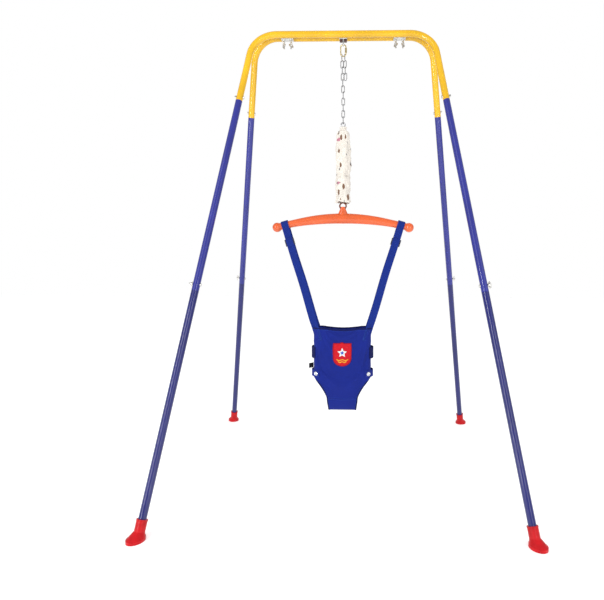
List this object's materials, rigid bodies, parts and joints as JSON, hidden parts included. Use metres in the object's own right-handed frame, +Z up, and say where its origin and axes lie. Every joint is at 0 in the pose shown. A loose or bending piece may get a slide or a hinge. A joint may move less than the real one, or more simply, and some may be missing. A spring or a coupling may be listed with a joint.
{
  "type": "activity jumper",
  "caption": "Baby jumper: a padded seat on webbing straps and an arched spreader bar, hung by a covered spring and chain from a folding steel-tube stand.",
  "frame": {"origin": "on the floor under the middle of the top bar", "axes": "+Z up, +X along the top bar, the front frame on the -Y side"},
  "size_m": [1.0968, 1.0662, 1.5165],
  "materials": {
    "yellow_enamel": "gloss enamel on steel tube",
    "blue_enamel": "gloss enamel on steel tube",
    "red_rubber": "moulded, slightly glossy",
    "zinc_steel": "bright zinc plate",
    "yellow_zinc": "yellow passivated zinc plate",
    "chain_steel": "zinc-plated welded links",
    "spring_steel": "drawn spring wire",
    "bronzed_steel": "dark bronzed",
    "brown_plastic": "moulded nylon",
    "orange_plastic": "moulded, glossy",
    "navy_plastic": "moulded acetal",
    "webbing": "woven polypropylene webbing",
    "seat_fabric": "woven cotton canvas",
    "binding_tape": "ribbed binding tape",
    "patch_cloth": "embroidered twill",
    "label_cloth": "woven tape",
    "cover_cloth": "printed cotton, gathered",
    "stud_metal": "polished press stud"
  },
  "bodies": {
    "front_frame": {"front_top_tube": "yellow_enamel", "front_left_upper_leg": "blue_enamel", "front_right_upper_leg": "blue_enamel", "front_left_lower_leg": "blue_enamel", "front_right_lower_leg": "blue_enamel", "front_left_foot": "red_rubber", "front_right_foot": "red_rubber", "front_junction_bolts": "zinc_steel", "front_leg_bolts": "zinc_steel", "clamp_upper_saddles": "zinc_steel", "clamp_lower_saddles": "zinc_steel", "clamp_studs": "zinc_steel", "clamp_washers": "zinc_steel", "clamp_spacers": "zinc_steel", "hanger_saddle": "zinc_steel", "hanger_lug": "zinc_steel", "hanger_bolts": "zinc_steel", "hanger_nuts": "brown_plastic"},
    "rear_frame": {"rear_top_tube": "yellow_enamel", "rear_left_upper_leg": "blue_enamel", "rear_right_upper_leg": "blue_enamel", "rear_left_lower_leg": "blue_enamel", "rear_right_lower_leg": "blue_enamel", "rear_left_foot": "red_rubber", "rear_right_foot": "red_rubber", "rear_junction_bolts": "zinc_steel", "rear_leg_bolts": "zinc_steel"},
    "quick_link": {"quick_link": "yellow_zinc"},
    "link_sleeve": {"link_sleeve": "yellow_zinc"},
    "chain": {"chain": "chain_steel", "chain_tail": "chain_steel"},
    "spring_top": {"spring_top_eye": "spring_steel", "spring": "spring_steel", "spring_cover": "cover_cloth"},
    "spring_bottom": {"spring_bottom_eye": "bronzed_steel"},
    "spreader": {"spreader_bar": "orange_plastic"},
    "harness": {"left_strap": "webbing", "right_strap": "webbing", "seat_front_panel": "seat_fabric", "seat_rear_panel": "seat_fabric", "seat_bindings": "binding_tape", "crotch_sling": "seat_fabric", "side_elastics": "binding_tape", "stud_tabs": "seat_fabric", "press_stud_caps": "stud_metal", "press_stud_sockets": "stud_metal", "emblem_patch": "patch_cloth", "side_label": "label_cloth"},
    "left_buckle": {"left_buckle": "navy_plastic"},
    "right_buckle": {"right_buckle": "navy_plastic"},
    "left_clamp_outer_wing_nut": {"left_clamp_outer_wing_nut": "zinc_steel"},
    "left_clamp_inner_wing_nut": {"left_clamp_inner_wing_nut": "zinc_steel"},
    "right_clamp_outer_wing_nut": {"right_clamp_outer_wing_nut": "zinc_steel"},
    "right_clamp_inner_wing_nut": {"right_clamp_inner_wing_nut": "zinc_steel"},
    "front_left_leg_wing_nut": {"front_left_leg_wing_nut": "zinc_steel"},
    "front_right_leg_wing_nut": {"front_right_leg_wing_nut": "zinc_steel"},
    "rear_left_leg_wing_nut": {"rear_left_leg_wing_nut": "zinc_steel"},
    "rear_right_leg_wing_nut": {"rear_right_leg_wing_nut": "zinc_steel"}
  },
  "joints": [
    {"name": "frame_fold", "type": "hinge", "parent": "front_frame", "child": "rear_frame", "pos_m": [0, 0.014, 1.5], "axis": [1, 0, 0], "range_deg": [-34, 0]},
    {"name": "link_swing", "type": "hinge", "parent": "front_frame", "child": "quick_link", "pos_m": [0, 0, 1.4713], "axis": [1, 0, 0], "range_deg": [-12, 12]},
    {"name": "link_sleeve_turn", "type": "hinge", "parent": "quick_link", "child": "link_sleeve", "pos_m": [0.0088, 0, 1.4522], "axis": [0, 0, 1], "continuous": true},
    {"name": "chain_swing", "type": "hinge", "parent": "quick_link", "child": "chain", "pos_m": [0, 0, 1.4419], "axis": [0, 1, 0], "range_deg": [-8, 8]},
    {"name": "spring_turn", "type": "hinge", "parent": "chain", "child": "spring_top", "pos_m": [0, 0, 1.2], "axis": [0, 0, 1], "range_deg": [-20, 20]},
    {"name": "bounce", "type": "slide", "parent": "spring_top", "child": "spring_bottom", "axis": [0, 0, 1], "range_m": [-0.15, 0], "stiffness_N_per_m": 400, "springref_m": 0.06, "deforming": ["spring", "spring_cover"]},
    {"name": "spreader_tilt", "type": "hinge", "parent": "spring_bottom", "child": "spreader", "pos_m": [0, 0, 0.929], "axis": [0, 1, 0], "range_deg": [-10, 10]},
    {"name": "harness_swing", "type": "hinge", "parent": "spreader", "child": "harness", "pos_m": [0, 0, 0.86223], "axis": [1, 0, 0], "range_deg": [-15, 15]},
    {"name": "left_buckle_slide", "type": "slide", "parent": "harness", "child": "left_buckle", "axis": [0.2855, -0.0351, -0.9577], "range_m": [-0.03, 0.2]},
    {"name": "right_buckle_slide", "type": "slide", "parent": "harness", "child": "right_buckle", "axis": [-0.2855, -0.0351, -0.9577], "range_m": [-0.03, 0.2]},
    {"name": "left_clamp_outer_wing_nut_turn", "type": "hinge", "parent": "front_frame", "child": "left_clamp_outer_wing_nut", "pos_m": [-0.202, 0, 1.47], "axis": [0, 0, -1], "continuous": true},
    {"name": "left_clamp_inner_wing_nut_turn", "type": "hinge", "parent": "front_frame", "child": "left_clamp_inner_wing_nut", "pos_m": [-0.178, 0, 1.47], "axis": [0, 0, -1], "continuous": true},
    {"name": "right_clamp_outer_wing_nut_turn", "type": "hinge", "parent": "front_frame", "child": "right_clamp_outer_wing_nut", "pos_m": [0.202, 0, 1.47], "axis": [0, 0, -1], "continuous": true},
    {"name": "right_clamp_inner_wing_nut_turn", "type": "hinge", "parent": "front_frame", "child": "right_clamp_inner_wing_nut", "pos_m": [0.178, 0, 1.47], "axis": [0, 0, -1], "continuous": true},
    {"name": "front_left_leg_wing_nut_turn", "type": "hinge", "parent": "front_frame", "child": "front_left_leg_wing_nut", "pos_m": [-0.42411, -0.2847, 0.66687], "axis": [-0.9903, 0.043, 0.1324], "continuous": true},
    {"name": "front_right_leg_wing_nut_turn", "type": "hinge", "parent": "front_frame", "child": "front_right_leg_wing_nut", "pos_m": [0.42411, -0.2847, 0.66687], "axis": [0.9903, 0.043, 0.1324], "continuous": true},
    {"name": "rear_left_leg_wing_nut_turn", "type": "hinge", "parent": "rear_frame", "child": "rear_left_leg_wing_nut", "pos_m": [-0.42411, 0.2847, 0.66687], "axis": [-0.9903, -0.043, 0.1324], "continuous": true},
    {"name": "rear_right_leg_wing_nut_turn", "type": "hinge", "parent": "rear_frame", "child": "rear_right_leg_wing_nut", "pos_m": [0.42411, 0.2847, 0.66687], "axis": [0.9903, -0.043, 0.1324], "continuous": true}
  ]
}
